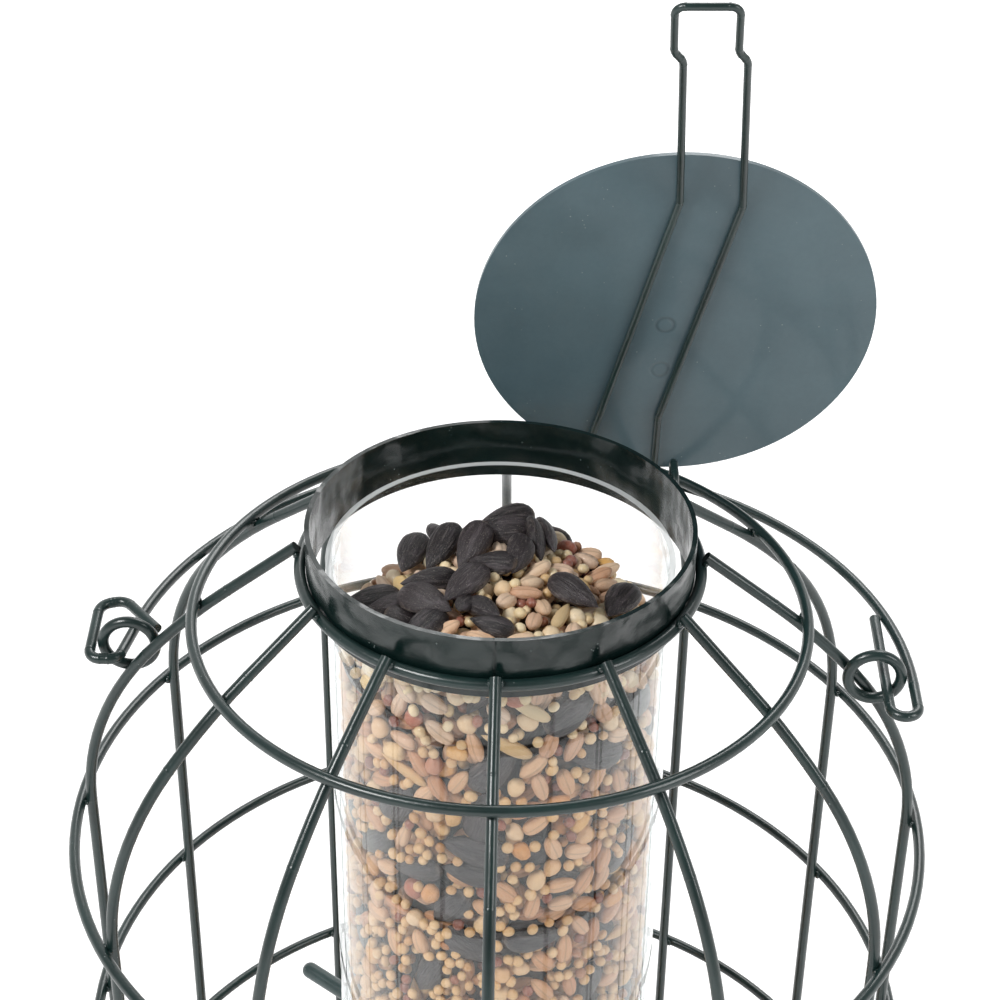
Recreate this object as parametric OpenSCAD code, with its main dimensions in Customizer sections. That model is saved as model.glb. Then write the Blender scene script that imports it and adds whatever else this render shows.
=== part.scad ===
/* [Cage] */
// Diameter of the upright and round cage wires
wire_d = 2.4; // [1.8:0.1:3.2]
// Radius of the straight side, at the middle of the upright wires
cage_r = 90.2; // [86:0.2:110]
// Turn of the whole cage about its axis
cage_turn = -0.9; // [-5:0.1:5]
// Turn of the front wire from its even place
front_rib_turn = 0; // [-3:0.1:3]
// Turn of the two side wires, which carry the eyes, from their even place
side_rib_turn = -0.4; // [-3:0.1:3]
// Slope of the shoulder next to the collar, down from level
shoulder_slope = 38; // [35:1:41]
// Slope where the slow bend of the shoulder ends
mid_slope = 49; // [46:1:53]
// Radius of the slow bend of the shoulder
shoulder_bend_r = 130; // [110:5:150]
// Radius of the bend into the straight side
side_bend_r = 62; // [54:1:70]
// Free end of an upright wire past its touch on the neck ring
rib_end = 0.8; // [0.4:0.1:2]
// Radius of the shoulder ring, at the middle of its wire
shoulder_ring_r = 64; // [61:0.5:72]
// Distance from an end of the straight side to the side ring nearest to it
ring_inset = 0.7; // [0.5:0.1:4]
// Gap left for the weld where two wires cross
weld_gap = 0.04; // [0.02:0.01:0.2]
// Swell of a wire at either end of a bend
swell = 0.05; // [0.03:0.01:0.1]

/* [Collar and height] */
// Height from the base to the rim of the collar
total_h = 327; // [315:1:350]
// Outer radius of the collar
collar_r = 40; // [39:0.5:42]
// Height of the collar
collar_h = 13.5; // [12:0.5:18]
// Thickness of the collar's sheet
sheet_t = 1; // [0.6:0.1:1.6]
// Depth of the ring round the collar below the rim
neck_ring_z = 9.6; // [9:0.1:11]

/* [Seed tube] */
// Outer radius of the tube
tube_r = 36; // [34:0.25:38]
// Wall of the tube
tube_wall = 1.2; // [0.8:0.1:2]
// Depth of the tube's rim below the collar's rim
tube_drop = 8.2; // [6:0.2:10]
// Free space between two pieces that lie round each other
fit_gap = 0.3; // [0.2:0.05:0.5]

/* [Base] */
// Thickness of the base floor
floor_t = 1.2; // [0.8:0.1:2.4]
// Height of the round lip that centres the tube, above the floor
spigot_h = 5; // [3:0.5:9]
// Thickness of that lip
spigot_t = 1.2; // [0.8:0.1:2]
// Radius of a drain hole
drain_r = 2; // [1:0.25:3]
// Radius of the circle of drain holes
drain_circle_r = 22; // [16:1:26]
// Number of drain holes in that circle
drain_count = 6; // [3:1:10]

/* [Perches] */
// Diameter of a perch rod
perch_d = 4.1; // [3:0.1:6]
// Length of a perch rod, end to end
perch_len = 126; // [110:1:140]
// Height of the upper perch
perch_upper_z = 162; // [155:1:170]
// Height of the lower perch
perch_lower_z = 66; // [56:1:74]
// Turn of the upper perch, from the front towards the right
perch_upper_turn = 51; // [47:1:55]
// Turn from the upper perch to the lower one
perch_step_turn = 90; // [85:1:95]
// Gap round a rod where it goes through the tube
perch_hole_gap = 0.06; // [0.04:0.01:0.3]

/* [Feeding ports] */
// Height of a port above its perch
port_rise = 20; // [17:0.5:24]
// Inner radius of a port
port_r = 6.5; // [5:0.25:8]
// Wall of a port's hood
hood_wall = 1.3; // [0.8:0.1:2]
// How far the top of a hood stands out of the tube
hood_reach = 4; // [3:0.25:5]
// How far the bottom of a hood stands out of the tube
hood_low_reach = 1.5; // [1:0.25:2.5]

/* [Seed] */
// Depth of the seed heap's top below the collar's rim
heap_drop = 14; // [11:0.5:30]
// Fall of the heap's sides
heap_slope = 11; // [5:0.5:20]
// Tilt of the whole heap, down to the back
heap_tilt = 7; // [0:0.5:10]

/* [Lid] */
// Radius of the lid
lid_r = 43; // [42.5:0.25:44]
// Thickness of the lid's sheet
lid_t = 1; // [0.6:0.1:1.6]
// Height of the shut lid's underside above the collar's rim
lid_lift = 2.2; // [2.1:0.1:2.6]
// The shut lid's middle, to the right of the cage axis
lid_x = 0.6; // [0:0.1:1]
// The shut lid's middle, behind the cage axis
lid_y = 1.7; // [1.2:0.1:2.2]
// Turn from the level lid to the open one
lid_open = 95; // [60:1:95]
// Radius of one of the two dimples in the lid
dimple_r = 1.6; // [1:0.1:2]
// Height of a dimple
dimple_h = 0.3; // [0.1:0.05:0.4]
// Distance between the two dimples
dimple_pitch = 12; // [8:0.5:16]

/* [Lid wire] */
// Diameter of the lid's wire
lid_wire_d = 1.6; // [1.2:0.1:1.7]
// Direction of the two legs, from the right towards the back
leg_turn = 47.3; // [45:0.5:50]
// Distance between the middles of the two legs
leg_pitch = 12.8; // [11:0.2:14]
// Shift of both legs to one side of the lid's middle
leg_shift = 2; // [1:0.2:3]
// Reach of the left leg from the lid's middle towards the hinge
leg_reach = 38; // [36:0.5:39]
// Reach of the bend where the right leg's foot turns aside
foot_from = 26.9; // [24:0.1:30]
// Reach of that foot
foot_reach = 40.5; // [38:0.5:41]
// How far the foot turns aside
foot_step = 3.2; // [2:0.1:4]
// Distance from the lid's middle to the bend where the left leg leaves the sheet
knee_at = 30.7; // [28:0.1:32]
// How much further the right leg runs before it does so
knee_lag = 2.2; // [0.5:0.1:3]
// Turn of the handle away from the line of the legs
handle_turn = 16.6; // [12:0.2:20]
// Fall of the handle below the lid's plane
handle_fall = 12; // [9:0.5:13]
// Length of the handle beyond the left leg's bend
handle_len = 53.9; // [50:0.1:58]
// Distance along the handle where both of its wires step aside
handle_step_at = 39.9; // [36:0.1:41]
// How far they step
handle_step = 1.8; // [1:0.1:2.4]
// Length over which they step
handle_step_run = 2.5; // [2.2:0.1:3.5]
// Radius of the bends of that step
step_bend_r = 2.6; // [1.5:0.1:3]
// Radius of the handle's two corners
handle_bend_r = 2; // [1.2:0.1:3]
// Radius of the bends where the legs become the handle
knee_bend_r = 2.4; // [1.5:0.1:3]
// Radius of the bends at the pin and at the left leg's end
pin_bend_r = 1.6; // [1.2:0.1:1.8]
// Radius of the bend into the right leg's foot
foot_bend_r = 6; // [4:0.5:8]

/* [Lid hinge] */
// Middle of the hinge pin, to the right of the cage axis
hinge_x = 5.35; // [5.1:0.05:5.6]
// Middle of the hinge pin, behind the cage axis
hinge_y = 42.55; // [42.4:0.05:42.8]
// Middle of the hinge pin below the collar's rim
hinge_drop = 5; // [4.8:0.05:5.15]
// Turn of the pin's line from the right towards the front
hinge_turn = 27.9; // [26:0.1:30]
// Fall of the pin's line to the right
hinge_fall = 29.7; // [28:0.1:31]
// Length of the pin
pin_len = 5.4; // [4.8:0.1:6]
// Free space round the pin
pin_gap = 0.06; // [0.03:0.01:0.1]
// Length of the sleeve round the pin
sleeve_len = 2.4; // [1.6:0.1:2.8]
// Wall of that sleeve
sleeve_wall = 0.7; // [0.5:0.05:0.8]
// How far the wire leans out on its way up from the pin
stub_lean = 4.5; // [3:0.25:5]

/* [Lid stop] */
// Turn of the stop's foot from the cage's front wire
stop_turn = 117.4; // [115:0.2:117.4]
// Depth of the stop's top below the collar's rim
stop_drop = 0.9; // [0.6:0.1:2]
// Length of the stop
stop_len = 8.8; // [7:0.2:9.4]
// Length of its free leg
stop_leg = 6; // [4:0.5:7]
// Radius of its two bends
stop_bend_r = 2.5; // [2:0.25:2.75]

/* [Bail] */
// Diameter of the bail's wire
bail_d = 2.3; // [1.8:0.1:2.4]
// Shift of the bow's middle to the right
bow_x = 3.6; // [2:0.2:6]
// Shift of the bow's middle in front of the line of the eyes
bow_front = 1.1; // [0:0.1:3]
// Rise of the resting bail from its eyes to its bow, in degrees
bail_tilt = 0; // [0:0.5:4]
// Drop of the bail's wire below the middle of its eyes
bail_sag = 1.3; // [0.5:0.1:1.6]
// Middle radius of an eye
eye_r = 5.6; // [5.4:0.1:6]
// Slope of the side wires where the eyes stand
eye_slope = 50.7; // [50.4:0.1:51]
// How far the middle of an eye stands outside the side wire's line
eye_rise = 3.65; // [3.4:0.05:3.9]
// Radius of the right end's return bend
hook_r = 2.9; // [2.8:0.05:3]
// How far the return bend of the right end stands in front of the eyes
hook_front = 8.6; // [5:0.2:10]
// Length of the right end's cut leg behind the eyes
hook_tail = 22.4; // [12:0.4:24]
// How far the left end passes in front of the left eye
curl_front = 4; // [3.8:0.1:5]
// Turn over which the bow is round, from its right end to its straight left side
bow_turn = 170; // [169:0.5:171]
// How far the left end runs back past the line of the eyes
curl_back = 16.5; // [15:0.5:18]
// Width of the left end's blunt tip
curl_w = 5.2; // [5:0.1:5.6]
// How far that tip slants to the back
curl_slant = 2.1; // [1.5:0.1:2.5]
// How far in the last leg of the left end reaches
tail_w = 13.7; // [13:0.1:14.5]
// How far behind the line of the eyes that leg stops
tail_back = 8.4; // [8:0.1:9]
// Radius of the left end's first two bends
curl_r = 2.4; // [2.2:0.1:2.6]
// Radius of its last two bends
tail_r = 3.4; // [3:0.1:3.5]

/* [Hidden] */

wire_green = [0.10, 0.19, 0.18];
rib_step = 30;
// Distance between the middles of two crossing cage wires
touch = wire_d + weld_gap;
// The neck ring lies against the collar's outside
neck_r = collar_r + wire_d / 2 + weld_gap;
// First point of an upright wire: square to the slope, over the neck ring
start_r = neck_r + touch * sin(shoulder_slope);
start_z = -neck_ring_z + touch * cos(shoulder_slope);
// The two corners of the shoulder, each rounded by its bend
slow_run = shoulder_bend_r * tan((mid_slope - shoulder_slope) / 2);
side_run = side_bend_r * tan((90 - mid_slope) / 2);
slow_corner_r = cage_r - (slow_run + side_run) * cos(mid_slope);
slow_corner_z = start_z - (slow_corner_r - start_r) * tan(shoulder_slope);
side_corner_z = slow_corner_z - (slow_run + side_run) * sin(mid_slope);
slow_c_r = slow_corner_r - slow_run * cos(shoulder_slope) - shoulder_bend_r * sin(shoulder_slope);
slow_c_z = slow_corner_z + slow_run * sin(shoulder_slope) - shoulder_bend_r * cos(shoulder_slope);
half_h = total_h / 2;
// Height of the shoulder ring, which lies on the outside of the upright wires
ring_c = shoulder_bend_r + touch;
shoulder_ring_z = slow_c_z + sqrt(pow(ring_c, 2) - pow(shoulder_ring_r - slow_c_r, 2));
side_ring_r = cage_r + touch;
// The straight side's top end, and the side rings spread evenly over it
side_c_r = cage_r - side_bend_r;
side_c_z = side_corner_z - side_run;
side_ring_z = total_h + side_c_z - ring_inset;
ring_pitch = 2 * (side_ring_z - half_h) / 3;
// Middle of an eye, square out from the side wire's bend
eye_out = side_c_r + (side_bend_r + eye_rise) * sin(eye_slope);
eye_drop = -side_c_z - (side_bend_r + eye_rise) * cos(eye_slope);
tube_in_r = tube_r - tube_wall;

// Cut of a wire's straights and bends inside the swell between them
joint_cut = 0.1;

function unit(v) = v / norm(v);
function turn_of(u, v) = acos(max(-1, min(1, u * v)));

// Straight wire from one point to another
module bar(p, q, d) {
    v = q - p;
    l = norm(v);
    translate(p)
        rotate([0, acos(v[2] / l), atan2(v[1], v[0])])
            cylinder(h = l, d = d, $fn = 24);
}

// Slight swell of a wire that runs along v
module knot(p, v, d) {
    translate(p)
        rotate([0, acos(v[2]), atan2(v[1], v[0])])
            rotate([0, 0, 40])
                sphere(d = d + 2 * swell, $fn = 24);
}

// Rounded corner of a wire that comes in along u and leaves along v
module bend_at(corner, u, v, r, d) {
    turn = turn_of(u, v);
    middle = corner + unit(v - u) * r / cos(turn / 2);
    out = unit(corner - u * r * tan(turn / 2) - middle);
    up = unit(cross(out, u));
    cut = joint_cut / r * 180 / PI;
    multmatrix([
        [out[0], u[0], up[0], middle[0]],
        [out[1], u[1], up[1], middle[1]],
        [out[2], u[2], up[2], middle[2]],
        [0, 0, 0, 1]])
        rotate([0, 0, cut])
            rotate_extrude(angle = turn - 2 * cut, $fn = 96)
                translate([r, 0])
                    circle(d = d, $fn = 24);
}

// Wire through a row of points, each corner rounded to its radius
module bent_wire(points, radii, d) {
    last = len(points) - 1;
    dirs = [for (i = [0 : last - 1]) unit(points[i + 1] - points[i])];
    runs = [for (i = [0 : last])
        i == 0 || i == last ? 0 : radii[i - 1] * tan(turn_of(dirs[i - 1], dirs[i]) / 2)];
    for (i = [0 : last - 1]) {
        p = points[i] + dirs[i] * (i == 0 ? 0 : runs[i] + joint_cut);
        q = points[i + 1] - dirs[i] * (i == last - 1 ? 0 : runs[i + 1] + joint_cut);
        if ((q - p) * dirs[i] > joint_cut)
            bar(p, q, d);
    }
    for (i = [1 : last - 1]) {
        bend_at(points[i], dirs[i - 1], dirs[i], radii[i - 1], d);
        knot(points[i] - dirs[i - 1] * runs[i], dirs[i - 1], d);
        knot(points[i] + dirs[i] * runs[i], dirs[i], d);
    }
}

// Level closed ring
module hoop(r, z, d) {
    translate([0, 0, z])
        rotate_extrude($fn = 96)
            translate([r, 0])
                circle(d = d, $fn = 24);
}

// Turns a piece that points along +X to a direction counted from the front towards the right
module face(turn) {
    rotate([0, 0, turn - 90])
        children();
}

// One whole upright wire
module rib(turn) {
    dir = [cos(shoulder_slope), 0, -sin(shoulder_slope)];
    first = [start_r, 0, start_z] - rib_end * dir;
    half = [first, [slow_corner_r, 0, slow_corner_z], [cage_r, 0, side_corner_z]];
    points = [for (i = [0 : 5])
        i < 3 ? half[i] + [0, 0, total_h] : [half[5 - i][0], 0, -half[5 - i][2]]];
    color(wire_green)
        face(turn + cage_turn)
            bent_wire(points, [shoulder_bend_r, side_bend_r, side_bend_r, shoulder_bend_r], wire_d);
}

module tube_collar() {
    color(wire_green)
        translate([0, 0, total_h - collar_h])
            difference() {
                cylinder(h = collar_h, r = collar_r, $fn = 128);
                translate([0, 0, -1])
                    cylinder(h = collar_h + 2, r = collar_r - sheet_t, $fn = 128);
            }
}

module cage_hoop(r, z) {
    color(wire_green)
        hoop(r, z, wire_d);
}

module base_cup() {
    color(wire_green)
        difference() {
            union() {
                difference() {
                    cylinder(h = collar_h, r = collar_r, $fn = 128);
                    translate([0, 0, floor_t])
                        cylinder(h = collar_h, r = collar_r - sheet_t, $fn = 128);
                }
                difference() {
                    cylinder(h = floor_t + spigot_h, r = spigot_r, $fn = 128);
                    translate([0, 0, floor_t])
                        cylinder(h = spigot_h + 1, r = spigot_r - spigot_t, $fn = 128);
                }
            }
            for (i = [0 : drain_count - 1])
                rotate([0, 0, i * 360 / drain_count])
                    translate([drain_circle_r, 0, -1])
                        cylinder(h = floor_t + 2, r = drain_r, $fn = 32);
        }
}
spigot_r = tube_in_r - fit_gap;

// Every place where something goes through the tube's wall
module tube_cuts() {
    hood_r = port_r + hood_wall + perch_hole_gap;
    for (p = perches) {
        face(p[1])
            translate([0, 0, p[0]]) {
                rotate([0, 90, 0])
                    cylinder(h = perch_len, r = perch_d / 2 + perch_hole_gap, center = true, $fn = 32);
                translate([0, 0, port_rise])
                    rotate([0, 90, 0])
                        cylinder(h = 2 * tube_r + 2, r = hood_r, center = true, $fn = 48);
            }
    }
}
perches = [[perch_upper_z, perch_upper_turn], [perch_lower_z, perch_upper_turn - perch_step_turn]];

module seed_tube() {
    color([0.85, 0.92, 0.92, 0.3])
        difference() {
            translate([0, 0, floor_t])
                cylinder(h = total_h - tube_drop - floor_t, r = tube_r, $fn = 128);
            translate([0, 0, floor_t - 1])
                cylinder(h = total_h, r = tube_in_r, $fn = 128);
            tube_cuts();
        }
}

module seed_fill() {
    heap_r = tube_in_r - fit_gap;
    low = floor_t + spigot_h + fit_gap;
    top = total_h - heap_drop;
    heap_h = 4 * heap_r * tan(heap_slope);
    color([0.72, 0.56, 0.38])
        difference() {
            union() {
                intersection() {
                    translate([0, 0, low])
                        cylinder(h = top - low, r = heap_r, $fn = 128);
                    translate([0, 0, top])
                        rotate([heap_tilt, 0, 0])
                            rotate([0, 0, 180])
                                translate([0, 0, -total_h - heap_h])
                                    union() {
                                        cylinder(h = total_h, r = 4 * heap_r, $fn = 64);
                                        translate([0, 0, total_h])
                                            cylinder(h = heap_h, r1 = 4 * heap_r, r2 = 0, $fn = 64);
                                    }
                }
                translate([0, 0, floor_t])
                    cylinder(h = low - floor_t, r = spigot_r - spigot_t - fit_gap, $fn = 128);
            }
            for (p = perches)
                face(p[1])
                    translate([0, 0, p[0]])
                        rotate([0, 90, 0])
                            cylinder(h = perch_len, r = perch_d / 2 + fit_gap, center = true, $fn = 32);
        }
}

module perch(p) {
    color(wire_green)
        face(p[1])
            translate([0, 0, p[0]])
                rotate([0, 90, 0])
                    union() {
                        cylinder(h = perch_len - perch_d, d = perch_d, center = true, $fn = 32);
                        for (s = [-1, 1])
                            translate([0, 0, s * (perch_len - perch_d) / 2])
                                sphere(d = perch_d, $fn = 32);
                    }
}

// Short sleeve through the tube's wall, cut at a slant so that its top stands over the port
module port_hood(p, side) {
    r = port_r + hood_wall;
    tilt = atan((hood_reach - hood_low_reach) / (2 * r));
    color(wire_green)
        face(p[1] + side)
            translate([0, 0, p[0] + port_rise])
                difference() {
                    translate([tube_in_r, 0, 0])
                        rotate([0, 90, 0])
                            cylinder(h = tube_wall + hood_reach, r = r, $fn = 48);
                    translate([tube_in_r - 1, 0, 0])
                        rotate([0, 90, 0])
                            cylinder(h = tube_wall + hood_reach + 2, r = port_r, $fn = 48);
                    translate([tube_r + hood_low_reach, 0, -r])
                        rotate([0, tilt, 0])
                            translate([0, -2 * r, -4 * r])
                                cube([4 * r, 4 * r, 8 * r]);
                }
}

// The right eye stands in front of its side wire, the left one behind it
side_turn = cage_turn + side_rib_turn;
module eye(side) {
    color(wire_green)
        rotate([0, 0, side_turn])
            translate([side * eye_out, -side * touch, total_h - eye_drop])
                rotate([90, 0, 0])
                    rotate_extrude($fn = 64)
                        translate([eye_r, 0])
                            circle(d = wire_d, $fn = 24);
}

// The pin's line, and the lid's wire in the lid's own place: legs along X, middle at the lid's middle
pin_dir = [cos(hinge_fall) * cos(hinge_turn), -cos(hinge_fall) * sin(hinge_turn), -sin(hinge_fall)];
pin_mid = [hinge_x, hinge_y, -hinge_drop];
function to_lid(p) =
    let(x = p[0] - lid_x, y = p[1] - lid_y)
    [x * cos(leg_turn) + y * sin(leg_turn), y * cos(leg_turn) - x * sin(leg_turn), p[2]];
leg_z = lid_lift - weld_gap - lid_wire_d / 2;
left_y = leg_shift + leg_pitch / 2;
right_y = leg_shift - leg_pitch / 2;
along = [-cos(handle_turn) * cos(handle_fall), sin(handle_turn), -cos(handle_turn) * sin(handle_fall)];
across = [sin(handle_turn) * cos(handle_fall), cos(handle_turn), sin(handle_turn) * sin(handle_fall)];
function on_handle(l, a) = [-knee_at, left_y, leg_z] + l * along + a * across;
far_side = -leg_pitch * cos(handle_turn);

// Takes a piece from the shut lid's place to the open one
module opened() {
    translate([0, 0, total_h] + pin_mid)
        rotate(a = -lid_open, v = pin_dir)
            translate(-pin_mid)
                children();
}

module lid_disc() {
    color(wire_green)
        opened()
            translate([lid_x, lid_y, lid_lift])
                rotate([0, 0, leg_turn])
                    union() {
                        cylinder(h = lid_t, r = lid_r, $fn = 128);
                        for (s = [-1, 1])
                            translate([s * dimple_pitch / 2, leg_shift, lid_t / 2])
                                cylinder(h = lid_t / 2 + dimple_h, r = dimple_r, $fn = 32);
                    }
}

// One wire: hinge pin, left leg, handle, right leg and its foot
module lid_handle() {
    corner = to_lid(pin_mid - pin_dir * pin_len / 2);
    step_end = handle_step_at + handle_step_run;
    points = [
        to_lid(pin_mid + pin_dir * pin_len / 2),
        corner,
        [corner[0] + stub_lean, corner[1], leg_z],
        [leg_reach, left_y, leg_z],
        [-knee_at, left_y, leg_z],
        on_handle(handle_step_at, 0),
        on_handle(step_end, handle_step),
        on_handle(handle_len, handle_step),
        on_handle(handle_len, far_side + handle_step),
        on_handle(step_end, far_side + handle_step),
        on_handle(handle_step_at, far_side),
        [-knee_at - knee_lag, right_y, leg_z],
        [foot_from, right_y, leg_z],
        [foot_reach, right_y - foot_step, leg_z]];
    radii = [pin_bend_r, pin_bend_r, pin_bend_r, knee_bend_r, step_bend_r, step_bend_r, handle_bend_r,
        handle_bend_r, step_bend_r, step_bend_r, knee_bend_r, foot_bend_r];
    color(wire_green)
        opened()
            translate([lid_x, lid_y, 0])
                rotate([0, 0, leg_turn])
                    bent_wire(points, radii, lid_wire_d);
}

// Sleeve round the pin, on a short stem that stands on the neck ring
module hinge_sleeve() {
    bore = lid_wire_d / 2 + pin_gap;
    ring_point = concat(neck_r * unit([hinge_x, hinge_y]), [-neck_ring_z]);
    stem = unit(ring_point - pin_mid);
    color(wire_green)
        translate([0, 0, total_h])
            difference() {
                union() {
                    translate(pin_mid)
                        rotate([0, 90 + hinge_fall, -hinge_turn])
                            cylinder(h = sleeve_len, r = bore + sleeve_wall, center = true, $fn = 32);
                    bar(pin_mid, ring_point - stem * (wire_d / 2 + weld_gap), lid_wire_d);
                }
                translate(pin_mid)
                    rotate([0, 90 + hinge_fall, -hinge_turn])
                        cylinder(h = 3 * sleeve_len, r = bore, center = true, $fn = 32);
            }
}

// Small bow of wire that stands on the neck ring behind the right of the collar
module lid_stop() {
    x = sin(stop_turn + cage_turn) * stop_r;
    y = -cos(stop_turn + cage_turn) * stop_r;
    foot = -neck_ring_z + wire_d / 2 + weld_gap;
    color(wire_green)
        translate([0, 0, total_h])
            bent_wire([[x, y, foot], [x, y, -stop_drop], [x, y + stop_len, -stop_drop],
                [x, y + stop_len, -stop_drop - stop_leg]], [stop_bend_r, stop_bend_r], lid_wire_d);
}
stop_r = collar_r + lid_wire_d / 2 + 2 * weld_gap;

// The bail in its own plane: X along the line of the eyes, Y away from it
hook_out = eye_out + eye_r + wire_d / 2 + fit_gap + bail_d / 2;
hook_in = hook_out - 2 * hook_r;
bow_r = hook_out - bow_x;
module bail() {
    leave = [bow_x + bow_r * cos(bow_turn), bow_r * sin(bow_turn) - bow_front, 0];
    leg_dir = [-sin(bow_turn), cos(bow_turn), 0];
    pass_y = 2 * touch - curl_front;
    low = leave - (leave[1] - pass_y) / leg_dir[1] * leg_dir;
    lift = bail_d + fit_gap;
    hook_start = joint_cut - hook_front;
    bow_start = -bow_front - joint_cut;
    color(wire_green)
        translate([0, 0, total_h - eye_drop - bail_sag])
            rotate([0, 0, side_turn])
                translate([0, -touch, 0])
                    rotate([bail_tilt, 0, 0])
                        union() {
                            bar([hook_in, hook_tail, 0], [hook_in, hook_start, 0], bail_d);
                            knot([hook_in, -hook_front, 0], [0, 1, 0], bail_d);
                            arc([hook_in + hook_r, -hook_front, 0], hook_r, 180, 180, bail_d);
                            knot([hook_out, -hook_front, 0], [0, 1, 0], bail_d);
                            bar([hook_out, hook_start, 0], [hook_out, bow_start, 0], bail_d);
                            knot([hook_out, -bow_front, 0], [0, 1, 0], bail_d);
                            arc([bow_x, -bow_front, 0], bow_r, 0, bow_turn, bail_d);
                            knot(leave, leg_dir, bail_d);
                            bent_wire([
                                leave + joint_cut * leg_dir,
                                low,
                                [-hook_out, pass_y, 0],
                                [-hook_out, curl_back, lift],
                                [-hook_out + curl_w, curl_back + curl_slant, lift],
                                [-hook_out + tail_w, tail_back, lift]],
                                [curl_r, curl_r, tail_r, tail_r], bail_d);
                        }
}

// Bend that lies in the plane of the bail, from one angle over a turn
module arc(middle, r, from, turn, d) {
    cut = joint_cut / r * 180 / PI;
    translate(middle)
        rotate([0, 0, from + cut])
            rotate_extrude(angle = turn - 2 * cut, $fn = 128)
                translate([r, 0])
                    circle(d = d, $fn = 24);
}

tube_collar();
cage_hoop(neck_r, total_h - neck_ring_z);  // neck_ring
cage_hoop(neck_r, neck_ring_z);  // foot_ring
rib(front_rib_turn);  // rib_front
rib(rib_step);  // rib_2
rib(2 * rib_step);  // rib_3
rib(3 * rib_step + side_rib_turn);  // rib_right
rib(4 * rib_step);  // rib_5
rib(5 * rib_step);  // rib_6
rib(6 * rib_step);  // rib_back
rib(7 * rib_step);  // rib_8
rib(8 * rib_step);  // rib_9
rib(9 * rib_step + side_rib_turn);  // rib_left
rib(10 * rib_step);  // rib_11
rib(11 * rib_step);  // rib_12
cage_hoop(shoulder_ring_r, total_h + shoulder_ring_z);  // ring_shoulder
cage_hoop(side_ring_r, side_ring_z);  // ring_side_1
cage_hoop(side_ring_r, side_ring_z - ring_pitch);  // ring_side_2
cage_hoop(side_ring_r, side_ring_z - 2 * ring_pitch);  // ring_side_3
cage_hoop(side_ring_r, side_ring_z - 3 * ring_pitch);  // ring_side_4
cage_hoop(shoulder_ring_r, -shoulder_ring_z);  // ring_lower
seed_tube();
base_cup();
seed_fill();
perch(perches[0]);  // perch_upper
perch(perches[1]);  // perch_lower
port_hood(perches[0], 0);  // port_hood_1
port_hood(perches[0], 180);  // port_hood_2
port_hood(perches[1], 0);  // port_hood_3
port_hood(perches[1], 180);  // port_hood_4
eye(1);  // eye_right
eye(-1);  // eye_left
hinge_sleeve();
lid_stop();
lid_disc();
lid_handle();
bail();
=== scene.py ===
"""Looks of the caged seed feeder: coated wire, pressed sheet, clear tube and loose seed."""

import itertools
import math
import random

import bmesh
import bpy
import numpy as np
from mathutils import Matrix, Vector


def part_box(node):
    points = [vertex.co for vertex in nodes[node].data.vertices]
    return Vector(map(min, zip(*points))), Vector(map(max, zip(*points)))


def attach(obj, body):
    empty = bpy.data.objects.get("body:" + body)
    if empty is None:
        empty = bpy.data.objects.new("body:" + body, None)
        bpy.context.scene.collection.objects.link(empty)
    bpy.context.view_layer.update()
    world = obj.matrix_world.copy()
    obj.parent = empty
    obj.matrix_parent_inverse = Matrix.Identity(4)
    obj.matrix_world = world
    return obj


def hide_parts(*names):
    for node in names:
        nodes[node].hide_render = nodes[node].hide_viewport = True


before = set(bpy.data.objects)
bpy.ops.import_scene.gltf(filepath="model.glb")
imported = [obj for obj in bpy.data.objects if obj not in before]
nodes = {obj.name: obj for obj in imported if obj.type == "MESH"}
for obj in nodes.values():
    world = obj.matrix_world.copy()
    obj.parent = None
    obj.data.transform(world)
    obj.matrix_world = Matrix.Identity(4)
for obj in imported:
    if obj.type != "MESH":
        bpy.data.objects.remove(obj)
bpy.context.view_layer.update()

# One millimetre in metres. The seed is worked out in millimetres, all else in metres
MM = 0.001
# From the base to the collar's rim, in millimetres
HEIGHT = 327.0
# Thickness of the cage wires, and radius of the space that the seed fills in the tube, in millimetres
WIRE = 2.4
TUBE_INSIDE = 34.6
WHITE = (1.0, 1.0, 1.0, 1.0)


# Paint maths

def rgb(r, g, b):
    """A colour as seen on a screen, from 0 to 255, turned to the renderer's own scale."""
    def linear(v):
        v = v / 255.0
        return v / 12.92 if v <= 0.04045 else ((v + 0.055) / 1.055) ** 2.4
    return (linear(r), linear(g), linear(b), 1.0)


class Signal:
    """One output of a node, worked on as if it were a number."""

    def __init__(self, paint, socket):
        self.paint = paint
        self.socket = socket

    def maths(self, operation, first, second=None):
        parts = [first] if second is None else [first, second]
        return self.paint.node("ShaderNodeMath", {"operation": operation}, dict(enumerate(parts)))

    def __add__(self, other):
        return self.maths("ADD", self, other)

    __radd__ = __add__

    def __sub__(self, other):
        return self.maths("SUBTRACT", self, other)

    def __rsub__(self, other):
        return self.maths("SUBTRACT", other, self)

    def __mul__(self, other):
        return self.maths("MULTIPLY", self, other)

    __rmul__ = __mul__

    def __truediv__(self, other):
        return self.maths("DIVIDE", self, other)

    def __pow__(self, other):
        return self.maths("POWER", self, other)

    def __gt__(self, other):
        return self.maths("GREATER_THAN", self, other)

    def __lt__(self, other):
        return self.maths("LESS_THAN", self, other)

    def __abs__(self):
        return self.maths("ABSOLUTE", self)

    def between(self, low, high):
        """Rises from 0 at low to 1 at high and stays there."""
        limits = {0: self, 1: low, 2: high, 3: 0.0, 4: 1.0}
        return self.paint.node("ShaderNodeMapRange", {"clamp": True}, limits)


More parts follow.
